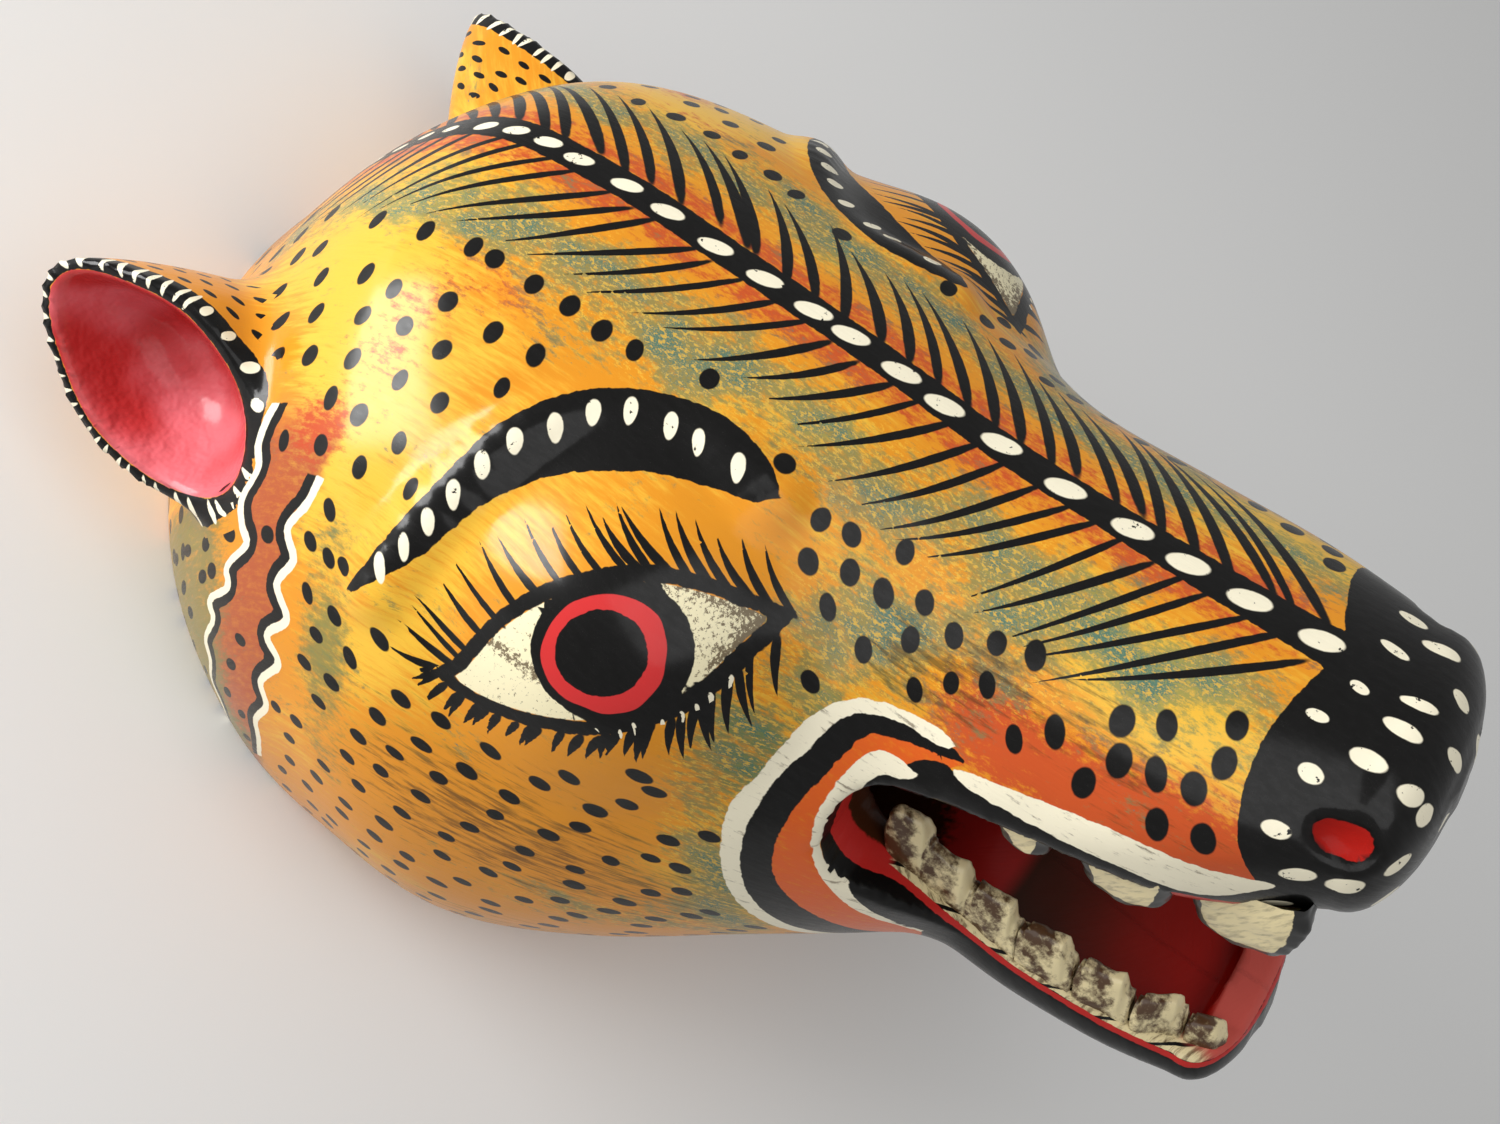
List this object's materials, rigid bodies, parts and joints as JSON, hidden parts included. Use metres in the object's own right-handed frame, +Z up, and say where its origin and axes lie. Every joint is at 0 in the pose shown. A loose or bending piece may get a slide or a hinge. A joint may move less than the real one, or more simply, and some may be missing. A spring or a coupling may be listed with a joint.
{
  "type": "carved tigre mask",
  "caption": "Hollow carved and painted wooden big-cat head mask with cupped ears and an open, toothed mouth, lying on its back rim.",
  "frame": {"origin": "centre of the bounding box, on the surface the mask lies on", "axes": "+X to the animal's left, across the head, along which its two sides mirror; +Y from the jaw back to the crown; +Z up, out of the hollow side"},
  "size_m": [0.2542, 0.3664, 0.2692],
  "materials": {
    "painted_wood": "hand-painted yellow, orange and black over carved wood, with a glossy lacquer worn in places"
  },
  "bodies": {
    "root": {"mask": "painted_wood"}
  },
  "joints": []
}
